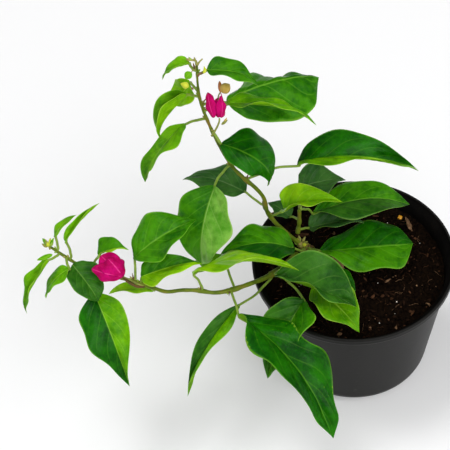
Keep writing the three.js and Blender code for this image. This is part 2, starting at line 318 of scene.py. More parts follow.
def sheet(top, bottom):
    """A thin body between two grids of points, as (points, upper faces, other faces, map)."""
    rows, columns = top.shape[:2]
    count = rows * columns
    upper = grid_faces(rows, columns)
    lower = [tuple(v + count for v in reversed(face)) for face in upper]
    outline = (
        list(range(columns))
        + [r * columns + columns - 1 for r in range(1, rows)]
        + [count - 1 - c for c in range(1, columns)]
        + [r * columns for r in range(rows - 2, 0, -1)]
    )
    rim = [(b, a, a + count, b + count) for a, b in zip(outline, outline[1:] + outline[:1])]
    uvs = [(x, y) for y in np.linspace(0, 1, rows) for x in np.linspace(0, 1, columns)]
    return np.concatenate([top.reshape(-1, 3), bottom.reshape(-1, 3)]), upper, lower + rim, uvs * 2


def spline(rows, count):
    """A smooth curve through rows at count even steps of the row number, ends included."""
    rows = np.asarray(rows, float)
    at = np.linspace(0, len(rows) - 1, count)
    i = np.minimum(at.astype(int), len(rows) - 2)
    t = (at - i).reshape((-1,) + (1,) * (rows.ndim - 1))
    padded = np.concatenate([2 * rows[:1] - rows[1:2], rows, 2 * rows[-1:] - rows[-2:-1]])
    p0, p1, p2, p3 = (padded[i + k] for k in range(4))
    return 0.5 * (
        2 * p1 + (p2 - p0) * t + (2 * p0 - 5 * p1 + 4 * p2 - p3) * t**2 + (3 * p1 - p0 - 3 * p2 + p3) * t**3
    )


def unit(v):
    return v / np.maximum(norm(v, axis=-1, keepdims=True), 1e-12)


def tube(centres, radii, sides=10, shape=None):
    """Points and faces of a closed tube. shape(row, turn) scales the radius."""
    centres, radii = np.asarray(centres, float), np.broadcast_to(radii, len(centres))
    tangents = unit(np.gradient(centres, axis=0))
    side = unit(np.cross(tangents[0], (0.3, 0.2, 0.9)))
    points = []
    for row, (centre, tangent, radius) in enumerate(zip(centres, tangents, radii)):
        side = unit(side - tangent * (side @ tangent))
        up = np.cross(side, tangent)
        for k in range(sides):
            turn = 2 * math.pi * k / sides
            r = radius * (shape(row, turn) if shape else 1)
            points.append(centre + r * (math.cos(turn) * side + math.sin(turn) * up))
    faces = [tuple(reversed(f)) for f in grid_faces(len(centres), sides, closed=True)]
    faces.append(tuple(range(sides)))
    faces.append(tuple((len(centres) - 1) * sides + k for k in reversed(range(sides))))
    return points, faces


# ---- reading the rings of a CAD node ----
RING_SIDES = 8
SAME_POINT = 2e-6


def points_of(node):
    return np.array([v.co for v in NODES[node].data.vertices], float)


def merged_mesh(node):
    """Points (n, 3) and neighbour sets of a CAD node, with the split vertices of its faces joined."""
    raw = points_of(node)
    keys = np.round(raw / SAME_POINT).astype(int)
    _, first, index = np.unique(keys, axis=0, return_index=True, return_inverse=True)
    index = index.reshape(-1)
    near = [set() for _ in first]
    for edge in NODES[node].data.edges:
        a, b = (int(index[v]) for v in edge.vertices)
        if a != b:
            near[a].add(b)
            near[b].add(a)
    return raw[first], near


def ring_order(ring, near):
    """The vertices of one ring, in turn round it."""
    inside, order = set(ring), [ring[0]]
    while len(order) < len(ring):
        order.append(next(v for v in near[order[-1]] if v in inside and v not in order))
    return order


def aligned(before, ring):
    """The ring turned, or reversed and turned, to follow the one before it most closely."""
    a = unit(before - before.mean(0))
    choices = [np.roll(ring[::way], shift, axis=0) for way in (1, -1) for shift in range(len(ring))]
    return max(choices, key=lambda tried: float((a * unit(tried - tried.mean(0))).sum()))


def read_rings(node, growing_from):
    """A tube's rings, as (foot point, rings (rows, 8, 3), tip point).

    Its foot is the end nearest growing_from, (points, 3). Column k of one ring joins column k of the next.
    """
    points, near = merged_mesh(node)
    poles = [i for i, n in enumerate(near) if len(n) == RING_SIDES]
    poles.sort(key=lambda pole: norm(growing_from - points[pole], axis=1).min())
    levels, seen = [[poles[0]]], {poles[0]}
    while levels[-1] != [poles[1]]:
        following = sorted({n for v in levels[-1] for n in near[v]} - seen)
        seen.update(following)
        levels.append(following)
    rings = [points[ring_order(level, near)] for level in levels[1:-1]]
    for row in range(1, len(rings)):
        rings[row] = aligned(rings[row - 1], rings[row])
    return points[poles[0]], np.array(rings), points[poles[1]]


# Every point a leaf can grow from, where the stems start, and the stems' centre lines.
STEM_POINTS = np.concatenate([points_of(node) for node in STEM_NAMES])
TRUNK_POINTS = points_of("trunk")
TRUNK_FOOT = TRUNK_POINTS[TRUNK_POINTS[:, 2] <= TRUNK_POINTS[:, 2].min() + MM].mean(axis=0)
LINE_STEPS = 200


def stem_rings(node):
    return read_rings(node, np.array([TRUNK_FOOT]))[1]


STEM_LINES = np.concatenate([spline(stem_rings(node).mean(axis=1), LINE_STEPS) for node in STEM_NAMES])


# ---- leaves ----
STALK_ROWS, STALK_STEPS = 2, 26
STALK_RADII = (0.8 * MM, 0.75 * MM, 0.7 * MM, 0.3 * MM)
BLADE_STEPS, BLADE_COLUMNS = 46, 19
BLADE_HALF_THICKNESS = 0.16 * MM
MIDRIB_RELIEF = 0.4 * MM


def blade_grid(rings, tip):
    """A blade's middle surface as (rows, 5 columns, 3), columns from edge to edge, upper face outward."""
    half = RING_SIDES // 2
    spans = norm(rings[:, :half] - rings[:, half:], axis=2)
    widest = int(spans.max(axis=1).argmax())
    edge = int(spans[widest].argmax())

    def column(i):
        return rings[:, (edge + i) % RING_SIDES]

    inner = [(column(i) + column(-i)) / 2 for i in range(1, half)]
    grid = np.stack([column(0), *inner, column(half)], axis=1)
    across = grid[widest, 4] - grid[widest, 0]
    along = grid[widest + 1, 2] - grid[widest - 1, 2]
    if np.cross(across, along)[2] < 0:
        grid = grid[:, ::-1]
    middle = grid[:1, 2:3]
    heading = unit(grid[1, 2] - grid[0, 2])
    length = norm(grid[-1, 2] - grid[0, 2])
    foot = middle + 0.2 * (grid[:1] - middle) - 0.025 * length * heading
    return np.concatenate([foot, grid[:-1], np.broadcast_to(tip, (1, 5, 3))])


def wavy(u, s, length, widths, seed, wave):
    """A blade's relief in metres over u (along, 0..1) and s (across, -1..1): edge waves, veins, puckers.

    widths is the blade's width row by row, and wave the height of the edge waves as a share of it.
    """
    width = widths.max()
    draw = random.Random(seed)
    right, left, lengthwise, _ = (draw.uniform(0, 6.28) for _ in range(4))
    waves = draw.uniform(1.7, 2.6)
    off = np.abs(s)
    inside = np.clip(np.minimum(u, 1 - u) / 0.12, 0, 1)
    phase = np.where(s > 0, right, left)
    edge = wave * widths[:, None] * off**2.2 * np.sin(2 * math.pi * waves * u + phase) * inside
    turns = (u - (VEIN_LEAN + VEIN_ARCH * off) * off) * VEIN_PAIRS
    from_vein = np.abs(turns - np.floor(turns) - 0.5)
    pillow = 0.056 * width * np.cos(math.pi * from_vein) ** 2 * (1 - off**2) * off**0.5 * inside
    rib = -0.35 * MM * np.exp(-((s * width / 2 / (0.9 * MM)) ** 2)) * np.clip((1 - u) / 0.3, 0, 1)
    bow = 0.020 * length * np.sin(2 * math.pi * (0.9 * u + 0.35 * s) + lengthwise) * inside
    return edge + pillow + rib + bow


def shaped(
    grid, seed, left=1.0, right=1.0, end_left=1.0, end_right=1.0, lift_left=0.0, lift_right=0.0, ripple=0.05
):
    """A blade with other proportions. Its halves are left and right as seen from the stalk.

    left and right scale the widths of the halves, end_left and end_right do so near the tip, and lift_left
    and lift_right raise the halves by degrees. ripple is how far the outline swings, as a share of the width.
    """
    rows, columns = grid.shape[:2]
    u = np.linspace(0, 1, rows)[:, None, None]
    s = np.linspace(-1, 1, columns)[None, :, None]
    middle = grid[:, columns // 2][:, None]
    along = unit(np.gradient(middle, axis=0))
    wide = (grid[:, -1] - grid[:, 0])[:, None]
    wide[-1], wide[0] = wide[-2], wide[1]
    across = unit(wide - along * (wide * along).sum(-1, keepdims=True))
    up = np.cross(across, along)
    off = grid - middle
    near_tip = np.clip((u - 0.45) / 0.4, 0, 1)
    near_tip = near_tip * near_tip * (3 - 2 * near_tip)
    side = (off * across).sum(-1, keepdims=True) * np.where(s < 0, left, right)
    side = side * (1 + near_tip * (np.where(s < 0, end_left, end_right) - 1))
    draw = random.Random(seed)
    scallops = [np.sin(2 * math.pi * draw.uniform(2.2, 3.4) * u + draw.uniform(0, 6)) for _ in (0, 1)]
    side = side * (1 + ripple * np.abs(s) * np.where(s < 0, *scallops))
    high = (off * up).sum(-1, keepdims=True)
    rise = np.radians(np.where(s < 0, lift_left, lift_right)) * np.clip(u / 0.15, 0, 1)
    turned = side * np.cos(rise) - high * np.sin(rise) * np.sign(s)
    raised = high * np.cos(rise) + np.abs(side) * np.sin(rise)
    return middle + turned * across + raised * up


def make_leaf(node, look, wave=0.085, **shape):
    """A fine leaf in place of a CAD one: a two-faced blade with veins in relief, on a round stalk.

    look names the blade's colours, or those of its left and right halves as left/right; two palettes on one
    blade paint light on one half and shade on the other.
    """
    foot, rings, tip = read_rings(node, STEM_POINTS)
    # Painted light and shade: a leaf with two palettes gets a lighter one on one half and a darker one on the
    # other.
    left_colour_and_shade, right_colour_and_shade = (look.split("/") * 2)[:2]
    stalk_points = rings[:STALK_ROWS].mean(axis=1)
    rows = spline(blade_grid(rings[STALK_ROWS:], tip), BLADE_STEPS)
    grid = spline(rows.transpose(1, 0, 2), BLADE_COLUMNS).transpose(1, 0, 2)
    grid = shaped(grid, seed=node, **shape)
    middle = BLADE_COLUMNS // 2
    u = np.linspace(0, 1, BLADE_STEPS)[:, None] * np.ones((1, BLADE_COLUMNS))
    s = np.linspace(-1, 1, BLADE_COLUMNS)[None, :] * np.ones((BLADE_STEPS, 1))
    length = norm(np.diff(grid[:, middle], axis=0), axis=1).sum()
    widths = norm(grid[:, -1] - grid[:, 0], axis=1)
    normal = unit(np.cross(np.gradient(grid, axis=1), np.gradient(grid, axis=0)))
    normal[0], normal[-1] = normal[1], normal[-2]
    lift = wavy(u, s, length, widths, node, wave)[..., None]
    from_midrib = s * widths.max() / 2 / (0.7 * MM)
    midrib = MIDRIB_RELIEF * np.exp(-(from_midrib**2)) * np.clip((1 - u) / 0.4, 0, 1)
    thin = BLADE_HALF_THICKNESS * np.clip(np.minimum((1 - np.abs(s)) * 6, (1 - u) * 12), 0.15, 1)[..., None]
    bottom = grid + normal * (lift - thin - midrib[..., None])
    points, upper, others, uvs = sheet(grid + normal * (lift + thin), bottom)
    left_face, back, stalk_slot, right_face = range(4)
    halves = [left_face if face[0] % BLADE_COLUMNS < middle else right_face for face in upper]
    parts = Parts()
    parts.add(points, upper + others, halves + [back] * len(others), uvs)

    in_stem = STEM_LINES[norm(STEM_LINES - foot, axis=1).argmin()]
    along_midrib = bottom[[1, 5, 9], middle] + normal[[1, 5, 9], middle] * 0.25 * MM
    start, end = stalk_points
    path = spline([in_stem, (start + foot) / 2, (start + end) / 2, end, *along_midrib], STALK_STEPS)
    radii = np.interp(np.arange(STALK_STEPS), [0, 3, 18, STALK_STEPS - 1], STALK_RADII)
    parts.add(*tube(path, radii), slot=stalk_slot)
    materials = [LEAF_FACES[left_colour_and_shade], LEAF_BACKS[right_colour_and_shade], STALK, LEAF_FACES[right_colour_and_shade]]
    parts.piece(node.replace("leaf_", "blade_"), materials, "leaf", [node])


# ---- pot and soil ----
def levels(node):
    """(largest radius, z) of a turned node's points, level by level from the bottom, in metres."""
    found = {}
    for x, y, z in points_of(node):
        key = round(z / (0.1 * MM))
        found[key] = max(found.get(key, (0, z)), (math.hypot(x, y), z))
    return [found[key] for key in sorted(found)]


def turned_faces(rows, segments):
    """Faces of a body turned round Z, for points in the order pole, rows of points, pole."""
    faces = [tuple(v + 1 for v in face) for face in grid_faces(rows, segments, closed=True)]
    last = 1 + (rows - 1) * segments
    for k in range(segments):
        following = (k + 1) % segments
        faces.append((0, 1 + following, 1 + k))
        faces.append((last + k, last + following, last + segments))
    return faces


def on_circle(radius, k, count):
    turn = 2 * math.pi * k / count
    return radius * math.cos(turn), radius * math.sin(turn)


def lathe(profile, segments):
    """Points and faces of a closed body turned round Z. profile is (radius, z) from pole to pole."""
    ring = profile[1:-1]
    points = [(*on_circle(radius, k, segments), z) for radius, z in ring for k in range(segments)]
    poles = [(0, 0, z) for _, z in (profile[0], profile[-1])]
    return [poles[0], *points, poles[1]], turned_faces(len(ring), segments)


POT_SEGMENTS = 192
POT_WALL, WALL_STEPS = 1.5 * MM, 30
ROLL_IN, ROLL_UP = 4 * MM, 5 * MM
LIP_ROUND = 0.9 * MM
DRAIN_HOLES, DRAIN_RING, DRAIN_RADIUS = 6, 31 * MM, 3.5 * MM


def pot_profile():
    """A tapered wall that rolls under at the foot, a thin collar, a rounded lip, and the inside back down."""
    steps = levels("pot")
    rim = max(radius for radius, _ in steps)
    height = steps[-1][1]
    foot = max(radius for radius, z in steps if z < 0.01 * MM)
    wall_foot = max(radius for radius, z in steps if z < 3.5 * MM)
    lip_foot = next(i for i, (radius, _) in enumerate(steps) if radius > rim - 1 * MM)
    neck, collar = steps[lip_foot - 1]

    def wall(z):
        return wall_foot + (neck - wall_foot) * z / collar

    outside = [(0, 0.5 * MM), (18 * MM, 0.5 * MM), (19 * MM, 0), (foot - 6 * MM, 0)]
    for k in range(9):
        turn = 0.5 * math.pi * k / 8
        outside.append((foot - ROLL_IN * (1 - math.sin(turn)), ROLL_UP * (1 - math.cos(turn))))
    for k in range(1, WALL_STEPS):
        z = ROLL_UP + (collar - ROLL_UP) * k / WALL_STEPS
        outside.append((wall(z) - 0.05 * MM * (k % 2), z))
    outside += [
        (neck, collar),
        (neck + 0.3 * MM, collar + 0.2 * MM),
        (rim - 0.6 * MM, collar + 0.7 * MM),
        (rim - 0.1 * MM, collar + 1.2 * MM),
        (rim, collar + 1.9 * MM),
        (rim - 0.15 * MM, height - 2.2 * MM),
        (rim, height - 1.3 * MM),
    ]
    for k in range(7):
        turn = math.pi * k / 6
        outside.append((rim - LIP_ROUND * (1 - math.cos(turn)), height - LIP_ROUND * (1 - math.sin(turn))))
    inside = [(rim - 2.1 * MM, height - 2.5 * MM), (neck - POT_WALL, height - 4 * MM)]
    for k in range(1, 12):
        z = height - 4 * MM - (height - 10 * MM) * k / 12
        inside.append((wall(z) - POT_WALL, z))
    inside += [(foot - 2.5 * MM, 4 * MM), (foot - 4.5 * MM, POT_WALL), (0, POT_WALL)]
    return outside + inside


def outward(mesh):
    """Turns every face of a closed mesh outwards."""
    work = bmesh.new()
    work.from_mesh(mesh)
    bmesh.ops.recalc_face_normals(work, faces=work.faces)
    work.to_mesh(mesh)
    work.free()


def pot_material():
    """Black plastic with a soft cloudiness, a fine grain and a little dust."""
    material, tree, shader = new_material("pot_plastic")
    cloud = speckle(tree, 28)
    colour = ramp(tree, cloud, [(0.3, (0.007, 0.0068, 0.0062)), (0.7, (0.013, 0.0125, 0.0115))])
    dust = step(tree, speckle(tree, 240, 5.0), 0.62, 0.8)
    colour = blotch(tree, colour, dust, 0.35, (0.06, 0.055, 0.05))
    worn = maths(tree, "MULTIPLY_ADD", cloud, 0.15, 0.32)
    finish(tree, shader, colour, speckle(tree, 900), 0.04 * MM, worn, 0.07)
    return material


def drilled(mesh, holes):
    """A copy of the mesh of a closed body with the bodies in holes cut out of it."""
    drill_mesh = bpy.data.meshes.new("drill")
    drill_mesh.from_pydata(holes.points, [], holes.faces)
    for body in (drill_mesh, mesh):
        outward(body)
    drill, undrilled = new_object("drill", drill_mesh), new_object("undrilled", mesh)
    cut = undrilled.modifiers.new("holes", "BOOLEAN")
    cut.operation, cut.object, cut.solver = "DIFFERENCE", drill, "EXACT"
    bpy.context.view_layer.update()
    result = undrilled.evaluated_get(bpy.context.evaluated_depsgraph_get())
    result = bpy.data.meshes.new_from_object(result)
    for body in (drill, undrilled):
        bpy.data.objects.remove(body)
    return result


def make_pot():
    """The pot, with its inside painted darker to stand for the shade in it, and its drain holes."""
    # Painted shade: from the lip's crest inward the plastic is near black, standing for the shade inside the
    # pot.
    inside = plain_material(
        "pot_inside_painted_shade", ((0.0015, 0.0015, 0.0015), (0.005, 0.004, 0.0035)), 90, 0.65, 0.05, 0.04
    )
    profile = pot_profile()
    points, faces = lathe(profile, POT_SEGMENTS)
    top = max(range(len(profile)), key=lambda k: profile[k][1])
    past_lip = 1 + top * POT_SEGMENTS
    slots = [1 if min(face) >= past_lip else 0 for face in faces]
    materials = [pot_material(), inside]
    pot = make_piece("pot_shell", points, faces, slots, materials, ["pot"])
    holes = Parts()
    for k in range(DRAIN_HOLES):
        x, y = on_circle(DRAIN_RING, k, DRAIN_HOLES)
        holes.add(*tube([(x, y, -2 * MM), (x, y, 0.5 * MM), (x, y, 3 * MM)], DRAIN_RADIUS, sides=32))
    before = pot.data
    pot.data = drilled(before, holes)
    bpy.data.meshes.remove(before)


def ball(subdivisions):
    """Points and triangles of a unit icosphere."""
    work = bmesh.new()
    bmesh.ops.create_icosphere(work, subdivisions=subdivisions, radius=1)
    points = [v.co.copy() for v in work.verts]
    faces = [tuple(v.index for v in face.verts) for face in work.faces]
    work.free()
    return points, faces


COARSE_BALL, FINE_BALL = ball(2), ball(3)


def lump(parts, draw, place, size, slot, shape=COARSE_BALL):
    """A rough crumb with half sizes in size, turned at random."""
    ball_points, faces = shape
    shift = Vector((draw.uniform(0, 50), draw.uniform(0, 50), draw.uniform(0, 50)))
    spin = Matrix.Rotation(draw.uniform(0, 6.28), 3, "Z") @ Matrix.Rotation(draw.gauss(0, 0.35), 3, "X")
    points = []
    for v in ball_points:
        rough = 1 + 0.45 * noise.noise(v * 1.7 + shift)
        points.append(Vector(place) + spin @ (v * Vector(size)) * rough)
    parts.add(points, faces, slot)


SOIL_RINGS, SOIL_SECTORS = 70, 200
SOIL_BOTTOM = levels("soil")[0][1]
SOIL_EDGE, SOIL_LEVEL = max(levels("soil"), key=lambda pair: pair[0])
DARK, BROWN, CHIP_BROWN, CHIP_TAN, PERLITE, CHIP_BARK, PRILL = range(7)
CRUMBS, CHIPS, GRAINS, FIBRES, FIBRE_STEPS = 2100, 60, 45, 120, 7


def soil_height(x, y):
    """The soil's surface: low waves that die out at the wall, a mound round the trunk, fine crumble."""
    waves = 1.1 * math.sin(x / MM / 8 + 1) * math.cos(y / MM / 9) + 0.7 * math.sin((x + 2 * y) / MM / 7)
    from_trunk = math.hypot(x - TRUNK_FOOT[0], y - TRUNK_FOOT[1])
    mound = 1.5 * math.exp(-((from_trunk / (9 * MM)) ** 2))
    rough = 1.7 * noise.fractal((x / (5 * MM), y / (5 * MM), 3), 0.9, 2.1, 5)
    by_wall = min(1, (SOIL_EDGE - math.hypot(x, y)) / (4 * MM))
    return SOIL_LEVEL + MM * (waves * by_wall + mound + rough) - 0.5 * MM


def soil_spot(draw, margin):
    """A random place on the soil, at least margin from its edge."""
    radius = (SOIL_EDGE - margin) * math.sqrt(draw.random())
    turn = draw.uniform(0, 2 * math.pi)
    x, y = radius * math.cos(turn), radius * math.sin(turn)
    return x, y, soil_height(x, y)


def lay_soil(soil):
    """The fill: a plain underside and a crumbled surface of rings that grow finer towards the wall."""
    rings = [SOIL_EDGE * (1 - (1 - k / SOIL_RINGS) ** 1.15) for k in range(1, SOIL_RINGS + 1)]
    points = [(0, 0, SOIL_BOTTOM)]
    under = [(0.7 * SOIL_EDGE, SOIL_BOTTOM), (0.78 * SOIL_EDGE, SOIL_BOTTOM + 3 * MM)]
    under.append((SOIL_EDGE, SOIL_LEVEL - 3 * MM))
    for radius, z in under + [(radius, None) for radius in reversed(rings)]:
        for k in range(SOIL_SECTORS):
            x, y = on_circle(radius, k, SOIL_SECTORS)
            points.append((x, y, soil_height(x, y) if z is None else z))
    points.append((0, 0, soil_height(0, 0)))
    soil.add(points, turned_faces(len(under) + len(rings), SOIL_SECTORS), DARK)


def scatter_lumps(soil, draw):
    """Crumbs of every size, bark chips and white grains."""
    for _ in range(CRUMBS):
        size = MM * min(1.7, 0.3 + draw.expovariate(2.6))
        x, y, z = soil_spot(draw, 1.5 * size + 0.7 * MM)
        half = (size, size * draw.uniform(0.5, 1), size * draw.uniform(0.4, 0.8))
        kind = draw.choices((DARK, BROWN, CHIP_BROWN, CHIP_TAN), (60, 22, 7, 1.5))[0]
        lump(soil, draw, (x, y, z + 0.2 * size), half, kind)
    for _ in range(CHIPS):
        length = MM * draw.uniform(1.0, 2.6)
        x, y, z = soil_spot(draw, 1.5 * length + 0.7 * MM)
        half = (length, length * draw.uniform(0.25, 0.5), MM * draw.uniform(0.25, 0.6))
        kind = draw.choices((BROWN, CHIP_BROWN, CHIP_TAN), (6, 3, 1))[0]
        lump(soil, draw, (x, y, z + 0.6 * MM), half, kind)
    for _ in range(GRAINS):
        size = MM * draw.uniform(0.2, 0.42)
        x, y, z = soil_spot(draw, 2 * MM)
        lump(soil, draw, (x, y, z + 0.6 * MM), (size, size, size), draw.choice((CHIP_TAN, PERLITE)))


def scatter_fibres(soil, draw):
    """Thin curved fibres that lie on the soil."""
    last = FIBRE_STEPS - 1
    for _ in range(FIBRES):
        x, y, _ = soil_spot(draw, 6 * MM)
        turn, bend, length = draw.uniform(0, 6.28), draw.gauss(0, 0.9), MM * draw.uniform(3, 8)
        path = []
        for k in range(FIBRE_STEPS):
            heading = turn + bend * k / last
            x, y = x + length / last * math.cos(heading), y + length / last * math.sin(heading)
            if math.hypot(x, y) > SOIL_EDGE - MM:
                break
            path.append((x, y, soil_height(x, y) + MM * (0.7 + 0.5 * math.sin(k * 0.9 + bend))))
        if len(path) > 3:
            strand = tube(path, MM * draw.uniform(0.06, 0.13), sides=5)
            soil.add(*strand, draw.choice((BROWN, CHIP_BROWN, CHIP_BROWN, CHIP_TAN)))


def soil_materials():
    """The materials of the soil's slots, in the order DARK to PRILL."""
    black = (0.0015, 0.0007, 0.0004), (0.009, 0.0045, 0.002)
    bark = (0.40, 0.19, 0.09), (0.55, 0.31, 0.17), (0.30, 0.13, 0.06)
    return [
        plain_material("soil_dark", black, 700, 0.95, 0.3, 0.04, places=(0.35, 0.7)),
        plain_material("soil_brown", ((0.004, 0.002, 0.001), (0.022, 0.010, 0.005)), 500, 0.95, 0.3, 0.05),
        plain_material("chip_brown", ((0.02, 0.008, 0.003), (0.085, 0.036, 0.016)), 300, 0.85, 0.3, 0.08),
        plain_material("chip_tan", ((0.09, 0.045, 0.02), (0.26, 0.15, 0.08)), 300, 0.8, 0.3, 0.1),
        plain_material("perlite", ((0.45, 0.42, 0.36), (0.75, 0.72, 0.65)), 600, 0.8, 0.2, 0.2),
        plain_material("chip_bark", bark, 220, 0.7, 0.4, 0.2, places=(0.3, 0.5, 0.7)),
        plain_material("prill", ((0.55, 0.22, 0.01), (0.80, 0.42, 0.03)), 300, 0.35, 0.05, 0.4),
    ]


def make_soil():
    """Crumbled soil with chips, fibres and white grains, three larger bark chips and an orange prill."""
    draw = random.Random(11)
    soil = Parts()
    lay_soil(soil)
    scatter_lumps(soil, draw)
    scatter_fibres(soil, draw)
    for x, y, size, kind in (
        (-9.5, 4, (6.5, 3.4, 2.0), CHIP_BARK),
        (34, 32, (5.0, 1.6, 0.8), CHIP_TAN),
        (-31, 24, (4, 2, 1), CHIP_BROWN),
        (29, 39, (1.5, 1.4, 1.4), PRILL),
    ):
        x, y = x * MM, y * MM
        place = (x, y, soil_height(x, y) + 1.2 * MM)
        lump(soil, draw, place, [MM * half for half in size], kind, FINE_BALL)
    soil.piece("soil_fill", soil_materials(), "potting_soil", ["soil"])


# ---- trunk and stems ----
STEM_SIDES = 20
STEM_STEP = 0.9 * MM
LEAF_FEET = [read_rings(node, STEM_POINTS)[0] for node in LEAF_NAMES]


def make_stem(node, material, slot, relief, slim):
    """A ridged stem, slim times as thick as in the CAD, that swells where each leaf leaves it.

    Gives its centre line and its radii.
    """
    rings = stem_rings(node)
    coarse = rings.mean(axis=1)
    thick = norm(rings - coarse[:, None], axis=2).mean(axis=1)
    length = norm(np.diff(coarse, axis=0), axis=1).sum()
    rows = max(24, int(length / STEM_STEP))
    centres, radii = spline(coarse, rows), spline(thick, rows)
    heading = unit(centres[-1] - centres[-2])
    centres = np.concatenate([centres, [centres[-1] + heading * radii[-1]]])
    radii = np.concatenate([radii, [0.35 * radii[-1]]]) * slim
    swell = np.ones(len(centres))
    for at in LEAF_FEET:
        away = norm(centres - at, axis=1)
        if away.min() < 3.5 * MM:
            swell = np.maximum(swell, 1 + 0.32 * np.exp(-(((away - away.min()) / (1.6 * MM)) ** 2)))
    shift = random.Random(node).uniform(0, 40)

    def shape(row, turn):
        x, y = math.cos(turn), math.sin(turn)
        ridge = noise.noise((2.2 * x + shift, 2.2 * y, row * 0.10))
        knot = noise.noise((1.1 * x, 1.1 * y + shift, row * 0.33))
        return 1 + relief * (ridge + 0.6 * knot)

    parts = Parts()
    parts.add(*tube(centres, radii * swell, STEM_SIDES, shape))
    parts.piece(node + "_bark", [material], slot, [node])
    return centres, radii


# ---- petals, buds and other small bodies ----
# Right, up, and towards someone in front of the pot who looks down on it.
VIEW_AXES = np.array([CAMERA_RIGHT, np.cross(CAMERA_RIGHT, CAMERA_FORWARD), np.negative(CAMERA_FORWARD)])
RIGHT, UP, TOWARD = VIEW_AXES
PETAL_STEPS, PETAL_COLUMNS = 22, 15
PETAL_HALF_THICKNESS = 0.07 * MM
BUD_STEPS = 14
FACE, BACK = 0, 1


def places_from(origin):
    """A function that gives the place x, y, z millimetres from origin along VIEW_AXES."""

    def at(x, y, z=0.0):
        return origin + np.array([x, y, z]) * MM @ VIEW_AXES

    return at


def petal(
    parts, base, tip, face, width, cup=0.3, bow=0.1, widest=0.45, wave=0, seed=0, sharp=1, slots=(FACE, BACK)
):
    """A thin curved blade from base to tip, width in millimetres, with its upper side turned to face.

    Its edges rise by cup and its middle by bow. It is widest at a share of its length, its edges wave, and
    sharp is how much of the width is left near the tip.
    """
    width = width * MM
    length = norm(tip - base)
    along = unit(tip - base)
    face = unit(face - along * (face @ along))
    across = np.cross(along, face)
    u = np.linspace(0, 1, PETAL_STEPS)[:, None]
    s = np.linspace(-1, 1, PETAL_COLUMNS)[None, :]
    outline = np.sin(math.pi * u ** (math.log(0.5) / math.log(widest))) ** 0.65
    half = 0.5 * width * np.maximum(outline * (1 - (1 - sharp) * u), 0.02)
    phase = random.Random(seed).uniform(0, 6)
    ripple = wave * width * s**2 * np.sin(2 * math.pi * (2.2 * u + 0.3 * s) + phase)
    pucker = 0.012 * width * np.sin(9 * math.pi * u + 5 * np.abs(s)) * (1 - s**2)
    crease = -0.025 * width * np.exp(-((s / 0.12) ** 2)) * (1 - u)
    rise = bow * length * np.sin(math.pi * u) + cup * half * s**2 + ripple + pucker + crease
    aside = s * half * (1 - 0.35 * abs(cup) * s**2)
    grid = base + u[..., None] * (tip - base) + aside[..., None] * across + rise[..., None] * face
    normal = unit(np.cross(np.gradient(grid, axis=1), np.gradient(grid, axis=0)))
    if normal[PETAL_STEPS // 2, PETAL_COLUMNS // 2] @ face < 0:
        grid, normal = grid[:, ::-1], -normal[:, ::-1]
    thin = PETAL_HALF_THICKNESS * normal
    points, upper, others, uvs = sheet(grid + thin, grid - thin)
    parts.add(points, upper + others, [slots[0]] * len(upper) + [slots[1]] * len(others), uvs)


def bud(parts, foot, tip, radius, slot, shape=(0.25, 0.75, 1.0, 0.98, 0.8, 0.5, 0.12), sides=12):
    """A pointed egg from foot to tip, radius in millimetres. shape is its radius along the way."""
    path = foot + np.linspace(0, 1, BUD_STEPS)[:, None] * (tip - foot)
    radii = np.maximum(spline(np.array(shape)[:, None], BUD_STEPS)[:, 0], 0.04) * radius * MM
    parts.add(*tube(path, radii, sides), slot)


def stalk(parts, path, radii, slot):
    """A thin round stalk along path, with its radii in millimetres spread evenly over its length."""
    path = spline(path, 5 * len(path))
    along = np.linspace(0, 1, len(path))
    parts.add(*tube(path, MM * np.interp(along, np.linspace(0, 1, len(radii)), radii), 9), slot)


def bract_material(name, dark, light, vein):
    """Papery magenta: veins a little darker, a pale midrib, a soft mottle."""
    material, tree, shader = new_material(name)
    _, side, off = vein_masks(tree)
    cloud = step(tree, speckle(tree, 170, 4.0), 0.3, 0.7)
    colour = mix(tree, cloud, dark, light)
    colour = blotch(tree, colour, side, 0.35, shade(dark, 0.55))
    colour = blotch(tree, colour, step(tree, off, 0.07, 0.02), 0.6, vein)
    colour = blotch(tree, colour, step(tree, off, 0.9, 1.0), 0.5, shade(dark, 0.45))
    relief = maths(tree, "ADD", side, speckle(tree, 900, 2.0))
    finish(tree, shader, colour, relief, LEAF_RELIEF, 0.65, 0.06)
    let_light_in(shader, 0.15, (1.0, 0.2, 0.5), 1 * MM)
    return material


def sprout_material(name, dark, light, roughness=0.6):
    return plain_material(name, (dark, light), 350, roughness, 0.05, 0.2)


# ---- blooms ----
THREAD, TUBE, TAN, RED = range(2, 6)


def middle_of(node):
    low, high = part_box(node)
    return (np.array(low, float) + np.array(high, float)) / 2


def make_left_bloom(materials):
    """A wide bloom of three bracts round a closed tube flower."""
    at = places_from(middle_of("bloom_left"))
    foot = at(6.0, -2.5, -1)
    parts = Parts()
    petal(parts, foot, at(-6.3, 9.0, -2.6), TOWARD + 0.25 * RIGHT, 16, 0.3, 0.10, 0.6, 0.09, 1, 0.8)
    petal(parts, foot, at(-1.9, 7.4, 1.5), TOWARD + 0.45 * RIGHT, 18.5, -0.55, 0.12, 0.5, 0.09, 2, 0.75)
    front = foot + TOWARD * MM
    petal(parts, front, at(-10.9, 1.8, -0.5), TOWARD - 0.2 * UP, 15.5, -0.5, 0.14, 0.58, 0.10, 3, 0.7)
    bud(parts, at(7.5, -3.6, -1.5), at(-1, 1, -1.5), 1.2, TUBE)
    node = at(17.5, -8.2, -4)
    stalk(parts, [node, at(12.5, -5.6, -0.5), at(8.5, -3.4, 0), foot], [0.45, 0.35], THREAD)
    tube_path = [node, at(13.5, -7.8, -1.5), at(9, -5.3, -1.5), at(6.5, -3.4, -1.5)]
    stalk(parts, tube_path, [0.6, 0.85, 0.95, 0.5], TUBE)
    parts.piece("bloom_left_bracts", materials, "bract", ["bloom_left"])


